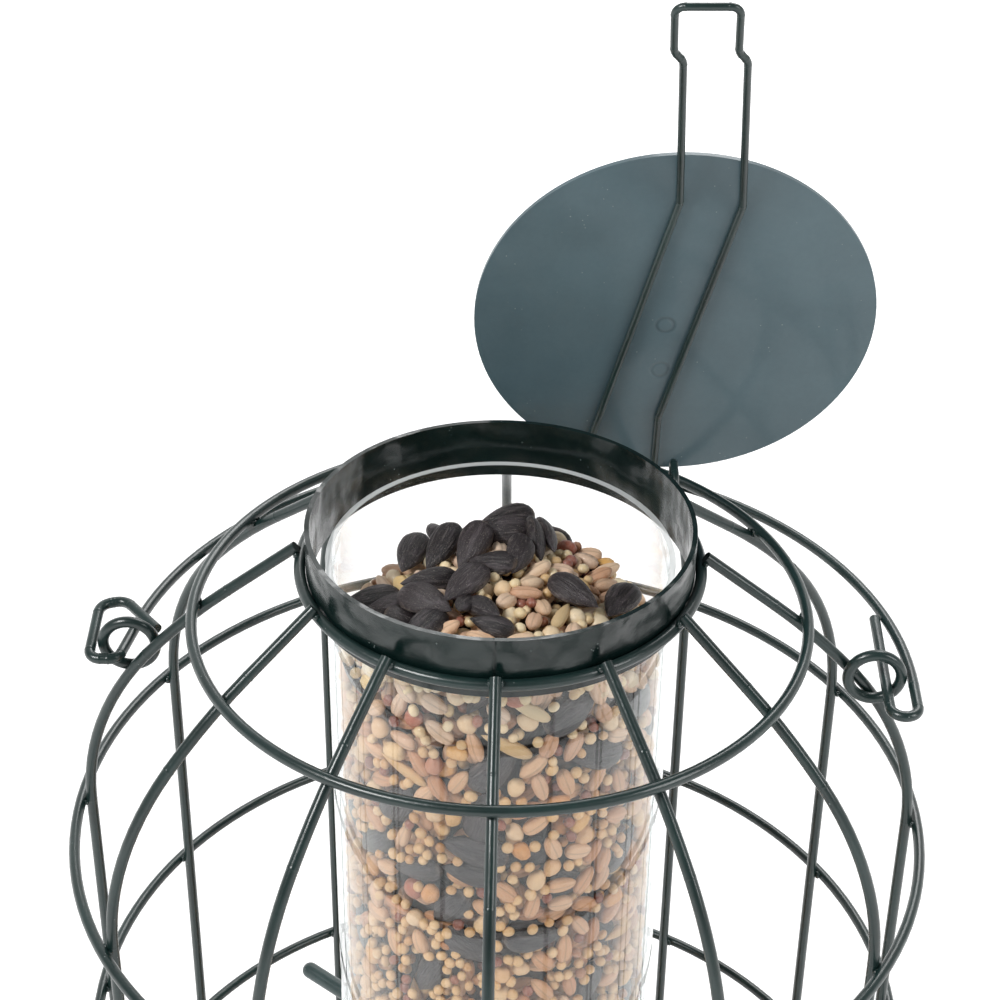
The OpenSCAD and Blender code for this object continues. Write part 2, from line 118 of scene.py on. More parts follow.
class Nodes:
    """A tree of nodes, with a short name for each kind of node that is used."""

    def __init__(self, tree):
        self.tree = tree

    def node(self, kind, settings=None, inputs=None, output=0):
        made = self.tree.nodes.new(kind)
        for key, value in (settings or {}).items():
            if key == "stops":
                ramp = made.color_ramp
                while len(ramp.elements) < len(value):
                    ramp.elements.new(0.5)
                for stop, (place, colour) in zip(ramp.elements, value):
                    stop.position = place
                    stop.color = colour
            else:
                setattr(made, key, value)
        for key, value in (inputs or {}).items():
            self.feed(made.inputs[key], value)
        return Signal(self, made.outputs[output])

    def feed(self, socket, value):
        if isinstance(value, Signal):
            self.tree.links.new(value.socket, socket)
        else:
            socket.default_value = value

    def place(self, kind="Object"):
        return self.node("ShaderNodeTexCoord", None, None, kind)

    def split(self, vector):
        made = self.node("ShaderNodeSeparateXYZ", None, {0: vector}).socket.node
        return [Signal(self, made.outputs[i]) for i in range(3)]

    def scaled(self, vector, factors):
        return self.node("ShaderNodeVectorMath", {"operation": "MULTIPLY"}, {0: vector, 1: factors})

    def distance(self, vector, point):
        settings = {"operation": "DISTANCE"}
        return self.node("ShaderNodeVectorMath", settings, {0: vector, 1: point}, "Value")

    def noise(self, vector, scale, detail=3.0, rough=0.55):
        inputs = {"Vector": vector, "Scale": scale, "Detail": detail, "Roughness": rough}
        return self.node("ShaderNodeTexNoise", None, inputs)

    def cells(self, vector, scale):
        """Distance to the middle of the nearest cell."""
        return self.node("ShaderNodeTexVoronoi", None, {"Vector": vector, "Scale": scale}, "Distance")

    def blend(self, amount, low, high, kind="MIX"):
        inputs = {0: amount, 6: low, 7: high}
        return self.node("ShaderNodeMix", {"data_type": "RGBA", "blend_type": kind}, inputs, 2)

    def ramp(self, value, tones):
        """Colour by value, from pairs of a place on the way from 0 to 1 and a screen colour."""
        stops = [(place, rgb(*colour)) for place, colour in tones]
        return self.node("ShaderNodeValToRGB", {"stops": stops}, {0: value})

    def relief(self, height, strength, depth, under=None):
        inputs = {"Height": height, "Strength": strength, "Distance": depth}
        if under is not None:
            inputs["Normal"] = under
        return self.node("ShaderNodeBump", None, inputs)

    def attribute(self, name, output="Fac"):
        return self.node("ShaderNodeAttribute", {"attribute_name": name}, None, output)


class Paint(Nodes):
    """One material with its one shader."""

    def __init__(self, name):
        self.material = bpy.data.materials.new(name)
        self.material.use_nodes = True
        super().__init__(self.material.node_tree)
        self.shader = next(n for n in self.tree.nodes if n.type == "BSDF_PRINCIPLED")

    def set(self, **values):
        """Sockets of the shader, with spaces written as underscores."""
        for key, value in values.items():
            self.feed(self.shader.inputs[key.replace("_", " ")], value)


# Coated metal

# The collar's seam: its place across and half its width
SEAM_X = -0.0009
SEAM_HALF = 0.0004
# Middles and strength of the two pressed marks on the open lid, and the radius and edge of their rings
LID_DIMPLES = [((0.0347, 0.0453, 0.3481), 0.4), ((0.0343, 0.0476, 0.3356), 0.15)]
DIMPLE_RADIUS = 0.0019
DIMPLE_EDGE = 0.0006


def collar_seam(p, place, colour, wet):
    """A dark line down the front of the collar, where its sheet meets, and the sheet's ripples."""
    x, y = p.split(place)[:2]
    line = (1.0 - (abs(x - SEAM_X) / SEAM_HALF).between(0.0, 1.0)) * (y < 0.0)
    ripple = p.noise(p.scaled(place, (1.0, 1.0, 0.45)), 190.0, 1.0)
    wet = p.relief(ripple, 0.35, 0.0016, wet)
    wet = p.relief(1.0 - line, 0.7, 0.0004, wet)
    return p.blend(line * 0.7, colour, rgb(10, 16, 16)), wet


def lid_dimples(p, place, colour, wet):
    """A dark sunk ring round each of the lid's two pressed marks."""
    for middle, strength in LID_DIMPLES:
        away = p.distance(place, middle)
        ring = 1.0 - (abs(away - DIMPLE_RADIUS) / DIMPLE_EDGE).between(0.0, 1.0)
        wet = p.relief(1.0 - ring, 0.25, 0.0005, wet)
        colour = p.blend(ring * strength, colour, rgb(22, 34, 36))
    return colour, wet


def powder_coat(name, deep, light, gloss, peel, waves=0.15, marks=None):
    """Dark coating: orange peel, thin and thick places, a few pale nicks and a piece's own marks."""
    p = Paint(name)
    place = p.place()
    cloud = p.noise(place, 55.0, 4.0)
    fine = p.noise(place, 900.0, 2.0)
    cells = p.cells(place, 620.0)
    nick = (0.11 - cells).between(0.0, 0.04) * p.noise(place, 140.0, 1.0).between(0.60, 0.68)
    tone = (cloud * 0.8 + fine * 0.2).between(0.32, 0.68)
    colour = p.blend(tone, deep, light)
    colour = p.blend(nick * 0.55, colour, rgb(150, 160, 158))
    slow = p.relief(p.noise(place, 70.0, 1.0), waves, 0.004)
    wet = p.relief(fine * 0.6 + p.noise(place, 330.0, 2.0), peel, 0.00025, slow)
    if marks:
        colour, wet = marks(p, place, colour, wet)
    p.set(Base_Color=colour, Roughness=cloud * 0.16 + (gloss - 0.05), Normal=wet)
    p.set(IOR=1.5, Coat_Weight=0.25, Coat_Roughness=0.1)
    return p.material


# Clear plastic

# Above this height there is only the tube's cut rim
TUBE_RIM = (HEIGHT - 8.35) * MM


def clear_tube():
    """Thin clear plastic: nearly nothing seen straight through, a hard shine at its sides, a dull rim."""
    p = Paint("clear tube")
    place = p.place()
    side = p.node("ShaderNodeLayerWeight", None, {"Blend": 0.5}, "Facing")
    haze = p.noise(p.scaled(place, (1.0, 1.0, 0.25)), 60.0, 4.0).between(0.45, 0.8)
    dust = p.noise(place, 2600.0, 1.0).between(0.72, 0.78)
    rim = p.split(place)[2] > TUBE_RIM
    p.set(Base_Color=rgb(244, 248, 248), Metallic=1.0 - rim, Roughness=haze * 0.03 + 0.012)
    p.set(Alpha=side ** 4.0 * 0.9 + 0.04 + haze * 0.008 + dust * 0.03 + rim * 0.5)
    return p.material


# Skins of the seeds

# Seed below the first height is packed against the tube and gets painted shade, seed above the second lies
# open on the heap
PACKED_BELOW = 0.284
OPEN_ABOVE = 0.304
# Colour that packed seed is multiplied by: painted shade, dimmer and warmer
PACKED_SHADE_TINT = (0.92, 0.74, 0.58, 1.0)

# Tones of the pale seeds: each seed has one number from 0 to 1, and its colour from the place there
WHEAT_TONES = [(0.0, (226, 196, 164)), (0.3, (214, 172, 136)), (0.55, (232, 208, 184)),
               (0.8, (196, 144, 106)), (1.0, (240, 222, 200))]
MILLET_TONES = [(0.0, (226, 198, 146)), (0.5, (236, 218, 180)), (0.84, (206, 168, 112)),
                (0.9, (150, 82, 58)), (1.0, (128, 64, 50))]
ROUND_TONES = [(0.0, (236, 222, 190)), (0.5, (226, 194, 152)), (0.8, (238, 226, 200)),
               (0.92, (184, 108, 76)), (1.0, (156, 80, 60))]
MAIZE_TONES = [(0.0, (224, 170, 92)), (0.35, (234, 206, 144)), (0.7, (214, 152, 80)),
               (1.0, (240, 224, 184))]
OAT_TONES = [(0.0, (222, 196, 150)), (0.6, (210, 180, 130)), (1.0, (232, 212, 172))]
# Tones of the body of seed further in, painted dim as shade
CORE_SHADE_TONES = [(0.3, (44, 30, 24)), (0.5, (104, 76, 54)), (0.7, (150, 116, 84))]


def packed_shade(p):
    """Painted shade: seed packed against the tube is coloured dimmer and warmer than seed on top of the
    heap.
    """
    height = p.split(p.place())[2]
    return p.blend(height.between(PACKED_BELOW, OPEN_ABOVE), PACKED_SHADE_TINT, WHITE)


def husk(name, tones, streaks, rough, bump, shine=0.0, crease=0.0):
    """Skin of a pale seed: its own tone, streaks along it, darker ends, a dry grain, painted shade in its
    crease and painted shade where it lies packed against the tube.
    """
    p = Paint(name)
    grain = p.attribute("grain", "Vector")
    x, y, z = p.split(p.attribute("own", "Vector"))
    lines = p.noise(p.scaled(grain, streaks), 1.0, 3.0)
    spots = p.noise(grain, 5.0, 3.0)
    base = p.ramp(p.attribute("tone"), tones)
    pale = p.blend(0.45, base, rgb(240, 232, 218))
    deep = p.blend(0.5, base, rgb(70, 44, 30))
    colour = p.blend(lines.between(0.35, 0.7) * 0.34, base, pale)
    colour = p.blend(spots.between(0.55, 0.75) * 0.3, colour, deep)
    colour = p.blend(abs(x).between(0.72, 1.0) * 0.5, colour, deep)
    if crease:
        # Painted shade along the seed's crease
        crease_shade_mask = (1.0 - (abs(y) / 0.16).between(0.0, 1.0)) * (z > 0.0)
        colour = p.blend(crease_shade_mask * crease, colour, deep)
    # Painted shade on seed packed against the tube
    colour = p.blend(1.0, colour, packed_shade(p), "MULTIPLY")
    p.set(Base_Color=colour, Roughness=lines * 0.2 + (rough - 0.1))
    p.set(Normal=p.relief(lines + spots * 0.6, bump, 0.0005), Coat_Weight=shine)
    return p.material


def dark_husk():
    """Skin of the large dark seeds: nearly black, grey stripes along it and pale edges."""
    p = Paint("dark husk")
    grain = p.attribute("grain", "Vector")
    x, y = p.split(p.attribute("own", "Vector"))[:2]
    lines = p.noise(p.scaled(grain, (0.55, 9.0, 9.0)), 1.0, 3.0, 0.6)
    broad = p.noise(p.scaled(grain, (0.3, 3.2, 3.2)), 1.0, 1.0)
    cloud = p.noise(grain, 2.2, 2.0)
    colour = p.blend(p.attribute("tone"), rgb(22, 17, 20), rgb(44, 36, 39))
    colour = p.blend(broad.between(0.52, 0.66) * 0.35, colour, rgb(92, 84, 88))
    colour = p.blend(lines.between(0.56, 0.72) * 0.5, colour, rgb(122, 114, 114))
    edge = abs(y).between(0.8, 0.98) * p.noise(grain, 3.0, 2.0).between(0.4, 0.6)
    colour = p.blend(edge * 0.35, colour, rgb(150, 138, 130))
    colour = p.blend(cloud.between(0.5, 0.8) * 0.4, colour, rgb(34, 27, 28))
    colour = p.blend(x.between(0.86, 1.0) * 0.5, colour, rgb(126, 108, 92))
    specks = p.noise(grain, 30.0, 0.0).between(0.74, 0.79)
    colour = p.blend(specks * 0.6, colour, rgb(206, 196, 182))
    p.set(Base_Color=colour, Roughness=lines * 0.25 + 0.34)
    p.set(Normal=p.relief(lines + broad * 0.8, 0.75, 0.0006))
    return p.material


def core_skin():
    """Rough seed further in, painted dim as shade, as it is seen in the gaps between the outer seeds;
    darker still in the gaps between its lumps.
    """
    p = Paint("seed in the dark")
    place = p.place()
    cells = p.cells(place, 240.0)
    colour = p.ramp(p.noise(place, 130.0, 2.0), CORE_SHADE_TONES)
    # Painted shade in the gaps between its lumps
    colour = p.blend(cells.between(0.2, 0.7), colour, rgb(30, 20, 16))
    p.set(Base_Color=colour, Roughness=0.8, Normal=p.relief(1.0 - cells, 0.8, 0.001))
    return p.material


# Finishes of the solids

coat_wire = powder_coat("coat on wire", rgb(14, 31, 30), rgb(24, 47, 45), 0.3, 0.25)
coat_sheet = powder_coat("coat on sheet", rgb(16, 34, 33), rgb(26, 46, 45), 0.26, 0.18, 0.3)
# The collar's coat is the same dark green as the sheet's, painted darker as painted shade
collar_coat_painted_shade = powder_coat("coat on collar with painted shade", rgb(6, 20, 19), rgb(13, 32, 30), 0.2, 0.2, 0.9, collar_seam)
# The lid's coat is the same dark green painted much paler, as a painted sheen for the light its underside
# reflects
lid_coat_painted_sheen = powder_coat("coat on lid with painted sheen", rgb(70, 90, 97), rgb(78, 99, 106), 0.4, 0.12, 0.1, lid_dimples)
coat_perch = powder_coat("coat on perch", rgb(34, 52, 52), rgb(50, 70, 70), 0.36, 0.3)
tube_clear = clear_tube()
FINISHES = {
    "tube_collar": collar_coat_painted_shade, "base_cup": coat_sheet, "lid_disc": lid_coat_painted_sheen, "seed_tube": tube_clear,
    "perch_upper": coat_perch, "perch_lower": coat_perch,
}


def dress(node, material):
    slots = nodes[node].data.materials
    slots.clear()
    slots.append(material)
    for face in nodes[node].data.polygons:
        face.material_index = 0


for name in nodes:
    dress(name, FINISHES.get(name, coat_sheet if name.startswith("port_hood") else coat_wire))


def add_object(name, data):
    """A new object in the scene, for a mesh, a lamp or a camera."""
    made = bpy.data.objects.new(name, data)
    bpy.context.scene.collection.objects.link(made)
    return made


def new_piece(name, mesh, material, body):
    """A smooth piece of the object that moves with one body."""
    mesh.shade_smooth()
    mesh.materials.append(material)
    piece = add_object(name, mesh)
    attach(piece, body)
    return piece


# Seed

def seed_form(length, width, depth, tip, butt, along, around, crease=0.0, ridge=0.0):
    """Points and faces of one seed along X, its tip and butt more pointed the higher their figures."""
    top = tip / (tip + butt)
    peak = top ** tip * (1 - top) ** butt
    points = [(-length / 2, 0.0, 0.0)]
    for i in range(1, along):
        t = (1 - math.cos(math.pi * i / along)) / 2
        fat = t ** tip * (1 - t) ** butt / peak
        for j in range(around):
            a = 2 * math.pi * j / around
            y = width / 2 * fat * math.cos(a)
            z = depth / 2 * fat * math.sin(a)
            if crease and math.sin(a) > 0:
                z *= 1.0 - crease * math.exp(-(math.cos(a) / 0.3) ** 2)
            if ridge:
                z *= 1.0 + ridge * math.cos(3 * a)
            points.append((length * (t - 0.5), y, z))
    points.append((length / 2, 0.0, 0.0))
    faces = [(0, 1 + (j + 1) % around, 1 + j) for j in range(around)]
    for i in range(along - 2):
        a = 1 + i * around
        b = a + around
        faces += [(a + j, a + (j + 1) % around, b + (j + 1) % around, b + j) for j in range(around)]
    last = len(points) - 1
    a = last - around
    faces += [(a + j, a + (j + 1) % around, last) for j in range(around)]
    return np.array(points), faces


class Heap:
    """Many seeds of one kind, gathered into one mesh. Reach is half a seed's length in a crowd."""

    def __init__(self, reach, length, width, thick, *shape, **dents):
        self.reach = reach
        self.width = width
        self.thick = thick
        self.points, self.faces = seed_form(length, width, thick, *shape, **dents)
        self.half = self.points.max(0)
        self.all_points = []
        self.all_faces = []
        self.tones = []
        self.grains = []
        self.owns = []

    def add(self, place, heading, flat, size, rng):
        """Puts in one seed along heading with its flat side to flat, in its own tone and grain."""
        tone = rng.random()
        x = heading.normalized()
        z = (flat - flat.dot(x) * x).normalized()
        y = z.cross(x)
        turn = np.array([x, y, z])
        points = self.points * np.array(size)
        wobble = 1.0 + 0.05 * math.sin(7 * tone)
        start = len(self.tones) * len(self.points)
        shift = np.array([rng.uniform(0, 50) for _ in range(3)])
        self.all_points.append((points * wobble) @ turn + np.array(place))
        self.all_faces += [tuple(start + v for v in face) for face in self.faces]
        self.tones.append(np.full(len(self.points), tone))
        self.grains.append(points / self.half[1] + shift)
        self.owns.append(self.points / self.half)

    def piece(self, name, material):
        mesh = bpy.data.meshes.new(name)
        points = np.concatenate(self.all_points) * MM
        mesh.from_pydata(points.tolist(), [], self.all_faces)
        for label, kind, key, rows in (("tone", "FLOAT", "value", self.tones),
                                       ("grain", "FLOAT_VECTOR", "vector", self.grains),
                                       ("own", "FLOAT_VECTOR", "vector", self.owns)):
            values = mesh.attributes.new(label, kind, "POINT")
            values.data.foreach_set(key, np.concatenate(rows).ravel())
        return new_piece(name, mesh, material, "feeder")


class Crowd:
    """Keeps seeds apart: each one is up to three balls along its length, kept in cells of space."""

    CELL = 8.0
    NEAR_CELLS = list(itertools.product((-1, 0, 1), repeat=3))

    def __init__(self):
        self.cells = {}

    def cell(self, point):
        return tuple(int(math.floor(v / self.CELL)) for v in point)

    def balls(self, place, heading, reach, radius):
        """Three balls in a row for a long seed, one for a round seed."""
        step = max(reach - radius, 0.0) * 0.75
        steps = (-step, 0.0, step) if step > 0.3 else (0.0,)
        return [(place[0] + heading.x * k, place[1] + heading.y * k, place[2] + heading.z * k, radius)
                for k in steps]

    def free(self, balls, overlap):
        for x, y, z, r in balls:
            i, j, k = self.cell((x, y, z))
            for a, b, c in self.NEAR_CELLS:
                for u, v, w, q in self.cells.get((i + a, j + b, k + c), ()):
                    near = (r + q) * (1.0 - overlap)
                    if (x - u) ** 2 + (y - v) ** 2 + (z - w) ** 2 < near * near:
                        return False
        return True

    def keep(self, balls):
        for ball in balls:
            self.cells.setdefault(self.cell(ball[:3]), []).append(ball)


# Height of the heap from the collar's rim in its middle, and at the wall in front. Along the wall it
# falls until so many degrees from the front, and rises again a little to the back
HEAP_TOP = -13.8
EDGE_FRONT = -15.5
EDGE_FALL = 12.5
EDGE_LOW_AT = 110
EDGE_RISE = 6
# Radius at which the heap meets the wall, and how late it falls on the way there
HEAP_RADIUS = 34.5
HEAP_BEND = 1.6


def heap_edge(turn):
    """Height of the seed at the tube's wall, by direction from the front, in degrees."""
    if turn < EDGE_LOW_AT:
        return EDGE_FRONT - EDGE_FALL * (1 - math.cos(math.pi * turn / EDGE_LOW_AT)) / 2
    back = math.pi * (turn - EDGE_LOW_AT) / (180 - EDGE_LOW_AT)
    return EDGE_FRONT - EDGE_FALL + EDGE_RISE * (1 - math.cos(back)) / 2


def heap_height(x, y):
    """Height of the heap's top over any place in the tube."""
    turn = abs(math.degrees(math.atan2(x, -y)))
    fall = min(math.hypot(x, y) / HEAP_RADIUS, 1.0) ** HEAP_BEND
    return HEAP_TOP + (heap_edge(turn) - HEAP_TOP) * fall


# Large dark seeds lying on top: place from the cage axis and rim, heading, roll and size
TOP_SEEDS = [
    (-19.1, 16.7, -19.4, 0.26, 0.96, 0.06, 0, 1.0), (-12.6, 15.2, -16.6, 0.44, 0.85, 0.29, 0, 1.0),
    (-6.1, 12.6, -14.6, 0.39, 0.83, 0.39, 10, 1.0), (1.1, 27.5, -17.6, 0.96, 0.2, 0.12, 0, 0.95),
    (1.0, 19.5, -15.2, 0.98, 0.12, -0.05, 20, 0.95), (7.6, 16.3, -15.4, -0.15, 0.97, 0.19, 70, 0.92),
    (10.1, 20.2, -17.0, -0.23, 0.97, 0.02, 60, 0.9), (-1.7, 5.4, -13.6, 0.93, -0.3, 0.15, 0, 0.82),
    (3.8, 7.4, -13.0, 0.25, 0.94, 0.2, 30, 0.9), (-7.3, -3.0, -13.0, 0.62, 0.77, 0.13, 0, 1.0),
    (-15.1, -6.3, -15.2, -0.75, 0.62, -0.1, 0, 1.05), (-14.6, 1.3, -15.9, 0.96, 0.25, -0.1, 40, 0.9),
    (15.3, -2.6, -15.2, -0.74, 0.63, 0.12, 0, 1.0), (25.0, 0.5, -19.6, 0.41, 0.91, -0.07, 0, 0.92),
    (-7.1, -9.4, -13.8, 0.25, 0.91, -0.33, 0, 0.66), (-3.2, -10.8, -13.6, -0.6, 0.75, -0.2, 0, 0.78),
    (-1.6, -16.0, -14.0, 0.9, -0.3, -0.1, 0, 0.7), (-15.2, -14.4, -15.6, 0.5, 0.8, -0.1, 0, 0.95),
    (-27.0, 2.0, -21.6, 0.93, 0.35, -0.05, 10, 1.05), (-14.5, 25.3, -20.0, 0.18, 0.92, -0.35, 30, 0.7),
    (-22.0, -4.0, -18.6, 0.9, 0.3, -0.1, 20, 0.9), (-5.0, 20.5, -17.9, 0.75, 0.6, 0.1, 30, 0.9),
]
# Spread of their length, width and thickness, and the radius and depth below them of their balls
TOP_SIZES = ((0.95, 1.03), (0.92, 1.08), (0.9, 1.1))
TOP_RADIUS = 2.5
TOP_SUNK = 1.0

# Spread of length, width and thickness of all other seeds
SEED_SIZES = ((0.86, 1.1), (0.85, 1.1), (0.85, 1.1))

# Layers of the heap: depth under its top, tries for each square millimetre, and allowed overlap
HEAP_LAYERS = ((0.0, 0.5, 0.16), (1.7, 0.4, 0.2), (3.6, 0.3, 0.25))
HEAP_MIX = {"wheat": 0.46, "pea": 0.16, "round": 0.18, "chip": 0.06, "oat": 0.02}
# Radius of the area for which tries are counted, and limits of a seed's middle and of its outer end
HEAP_SPREAD = 33
MIDDLE_LIMIT = 32.5
END_LIMIT = 33.6

# Passes along the wall: depth behind it, tries for each square millimetre, small seeds only, and overlap
WALL_PASSES = ((0.2, 0.13, False, 0.14), (0.3, 0.16, True, 0.16), (2.4, 0.12, False, 0.2),
               (4.6, 0.08, False, 0.25))
# Above this height more large dark seed lies at the wall, below it more millet
UPPER_SEED = 235.0
UPPER_MIX = {"dark": 0.26, "wheat": 0.42, "pea": 0.22, "round": 0.05, "chip": 0.05, "oat": 0.03}
LOWER_MIX = {"dark": 0.16, "wheat": 0.30, "pea": 0.48, "round": 0.03, "chip": 0.03, "oat": 0.02}
FINE_MIX = {"pea": 0.75, "round": 0.1, "wheat": 0.15}


class Filling:
    """The loose seed in the tube, laid one by one with a single run of random numbers."""

    def __init__(self):
        self.rng = random.Random(7)
        self.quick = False
        # Reach, length, width and thickness, then how pointed tip and butt are, and steps along and around
        self.kinds = {
            "dark": Heap(6.9, 13.6, 7.3, 4.0, 0.95, 0.5, 12, 14, ridge=0.07),
            "wheat": Heap(3.6, 7.0, 3.5, 3.2, 0.55, 0.42, 9, 12, crease=0.34),
            "pea": Heap(1.4, 2.6, 2.4, 2.3, 0.5, 0.5, 6, 8),
            "round": Heap(2.3, 4.5, 4.2, 3.7, 0.62, 0.42, 8, 10, ridge=0.06),
            "chip": Heap(2.8, 5.4, 4.2, 2.8, 0.3, 0.26, 5, 7, ridge=0.16),
            "oat": Heap(5.8, 11.5, 3.0, 2.4, 0.5, 0.95, 9, 8, crease=0.35),
        }

    def pick(self, mix):
        """One kind by chance, each as often as its share says."""
        names, shares = zip(*mix.items())
        return self.rng.choices(names, shares)[0]

    def any_way(self, spread):
        return Vector([self.rng.gauss(0, spread) for _ in range(3)])

    def any_size(self, ranges):
        return [self.rng.uniform(low, high) for low, high in ranges]

    def lay(self, crowd, kind, place, out, spread, overlap):
        """Puts one seed down flat against what it lies on, if there is room for it."""
        heap = self.kinds[kind]
        side = self.any_way(1)
        heading = (side - side.dot(out) * out).normalized()
        heading = (heading + out * self.rng.uniform(-spread, spread)).normalized()
        size = self.any_size(SEED_SIZES)
        balls = crowd.balls(place, heading, heap.reach * size[0], (heap.thick + heap.width) / 4 * size[1])
        if crowd.free(balls, overlap):
            crowd.keep(balls)
            heap.add(place, heading, out + self.any_way(0.25), size, self.rng)

    def top_seeds(self, crowd):
        """The large dark seeds that the photograph shows on top of the heap."""
        heap = self.kinds["dark"]
        for x, y, z, dx, dy, dz, roll, big in TOP_SEEDS:
            heading = Vector((dx, dy, dz)).normalized()
            flat = Matrix.Rotation(math.radians(roll), 3, heading) @ Vector((0.0, -0.25, 1.0))
            size = [big * factor for factor in self.any_size(TOP_SIZES)]
            sunk = (x, y, HEIGHT + z - TOP_SUNK)
            crowd.keep(crowd.balls(sunk, heading, heap.reach * big, TOP_RADIUS * big))
            heap.add((x, y, HEIGHT + z), heading, flat, size, self.rng)

    def top_layers(self, crowd):
        """The rest of the heap, in layers, with more dark seed on its left."""
        share = 0.6 if self.quick else 1.0
        for level, many, overlap in HEAP_LAYERS:
            for _ in range(int(math.pi * HEAP_SPREAD ** 2 * many * share)):
                r = MIDDLE_LIMIT * math.sqrt(self.rng.random())
                a = self.rng.uniform(0, 2 * math.pi)
                x = r * math.cos(a)
                y = r * math.sin(a)
                dark_side = 1.0 / (1.0 + math.exp((x - 2.0 + 0.15 * y) / 5.0))
                kind = self.pick({"dark": 0.02 + 0.09 * dark_side, **HEAP_MIX})
                if r + self.kinds[kind].reach * 0.55 > END_LIMIT:
                    continue
                z = heap_height(x, y) - level - self.kinds[kind].thick * 0.35
                up = Vector((self.rng.gauss(0, 0.2), self.rng.gauss(0, 0.2), 1.0)).normalized()
                self.lay(crowd, kind, (x, y, HEIGHT + z), up, 0.2, overlap)

    def wall(self, crowd):
        """Seeds against the tube's wall: the nearest first, small ones into the gaps, then those behind."""
        share = 0.35 if self.quick else 1.0
        area = 2 * math.pi * TUBE_INSIDE * (HEIGHT - 22)
        for depth, many, fine, overlap in WALL_PASSES:
            for _ in range(int(area * many * share)):
                turn = self.rng.uniform(0, 360)
                z = self.rng.uniform(4.0, HEIGHT + heap_edge(abs((turn + 180) % 360 - 180)) - 1.5)
                kind = self.pick(FINE_MIX if fine else UPPER_MIX if z > UPPER_SEED else LOWER_MIX)
                reach = self.kinds[kind].reach
                z = max(z, reach * 1.1 + 1.8)
                base_lip = 3.0 if z < 9 + reach else 0.0
                drop = reach * reach / (2 * TUBE_INSIDE) * 0.75
                r = TUBE_INSIDE - self.kinds[kind].thick / 2 * 1.08 - drop - depth - base_lip
                r -= self.rng.uniform(0, 0.4)
                a = math.radians(turn)
                out = Vector((math.sin(a), -math.cos(a), 0.0))
                self.lay(crowd, kind, (out.x * r, out.y * r, z), out, 0.05, overlap)


def seed_skins():
    return {
        "dark": dark_husk(),
        "wheat": husk("wheat husk", WHEAT_TONES, (0.7, 5.0, 5.0), 0.5, 0.45, 0.06, crease=0.55),
        "pea": husk("millet husk", MILLET_TONES, (2.0, 2.0, 2.0), 0.42, 0.2, 0.2),
        "round": husk("pale round husk", ROUND_TONES, (1.5, 2.5, 2.5), 0.48, 0.3, 0.1),
        "chip": husk("maize chip", MAIZE_TONES, (1.2, 1.2, 1.2), 0.5, 0.55),
        "oat": husk("oat husk", OAT_TONES, (0.5, 7.0, 7.0), 0.55, 0.5),
    }


def fill_tube():
    """Loose seed in place of the solid one."""
    filling = Filling()
    top = Crowd()
    filling.top_seeds(top)
    filling.top_layers(top)
    filling.wall(Crowd())
    skins = seed_skins()
    made = [heap.piece("seed_" + name, skins[name]) for name, heap in filling.kinds.items()]
    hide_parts("seed_fill")


# Faces round the dim body behind the seeds, its distance from the wall, how far its top lies under the
# heap's, and how much further out the heap's height is read for it
CORE_AROUND = 72
CORE_GAP = 8.5
CORE_SUNK = 6.5
CORE_STRETCH = 1.2
# Its levels along the tube: the lowest, the next one, and the number and distance of those from there
CORE_FOOT = 1.6
CORE_START = 10
CORE_LEVELS = 48
CORE_STEP = 6.0
# Rings that close its top: their number, the steps in which they would reach the middle, and the last
CORE_CAP_RINGS = 8
CORE_CAP_STEPS = 8.4
CORE_CAP_END = 0.6


def seed_core():
    """What is seen between the loose seeds: a rough body of seed further in, painted dim as shade."""
    radius = TUBE_INSIDE - CORE_GAP
    turns = [2 * math.pi * j / CORE_AROUND for j in range(CORE_AROUND)]
    points = []
    levels = [CORE_FOOT] + [CORE_START + CORE_STEP * i for i in range(CORE_LEVELS)]
    for z in levels:
        points += [(radius * math.sin(a), -radius * math.cos(a), z) for a in turns]
    cap = [radius * (1 - step / CORE_CAP_STEPS) for step in range(CORE_CAP_RINGS)] + [CORE_CAP_END]
    for r in cap:
        for a in turns:
            x = r * math.sin(a)
            y = -r * math.cos(a)
            top = heap_height(x * CORE_STRETCH, y * CORE_STRETCH)
            points.append((x, y, HEIGHT + top - CORE_SUNK))
    rings = len(levels) + len(cap)
    faces = []
    for i in range(rings - 1):
        a = i * CORE_AROUND
        b = a + CORE_AROUND
        for j in range(CORE_AROUND):
            k = (j + 1) % CORE_AROUND
            faces.append((a + j, a + k, b + k, b + j))
    faces.append(tuple(range((rings - 1) * CORE_AROUND, rings * CORE_AROUND)))
    faces.append(tuple(reversed(range(CORE_AROUND))))
    rng = random.Random(3)
    rough = [(x * rng.uniform(0.97, 1.0), y * rng.uniform(0.97, 1.0), z) for x, y, z in points]
    mesh = bpy.data.meshes.new("seed_core")
    mesh.from_pydata([(x * MM, y * MM, z * MM) for x, y, z in rough], [], faces)
    new_piece("seed_core", mesh, core_skin(), "feeder")


# Welds

# How uneven a bead is
BEAD_ROUGH = 0.12
# Where an upright touches a ring, seen from the middle of the ring's wire in the upright's plane:
# degrees from inwards, over up, to outwards, and how many wires along that line the touch lies
SIDE_TOUCH = (180, -0.5)
RING_TOUCH = {
    "neck_ring": (128, 0.5), "foot_ring": (128, 0.5),
    "ring_shoulder": (132, -0.5), "ring_lower": (132, -0.5),
}


def bead(bm, place, size, turn, rng):
    """One small uneven bead of weld."""
    made = bmesh.ops.create_icosphere(bm, subdivisions=2, radius=1.0)["verts"]
    for v in made:
        v.co *= 1.0 + rng.uniform(-BEAD_ROUGH, BEAD_ROUGH)
        v.co = Vector((v.co.x * size[0], v.co.y * size[1], v.co.z * size[2]))
        v.co = turn @ v.co + Vector(place)


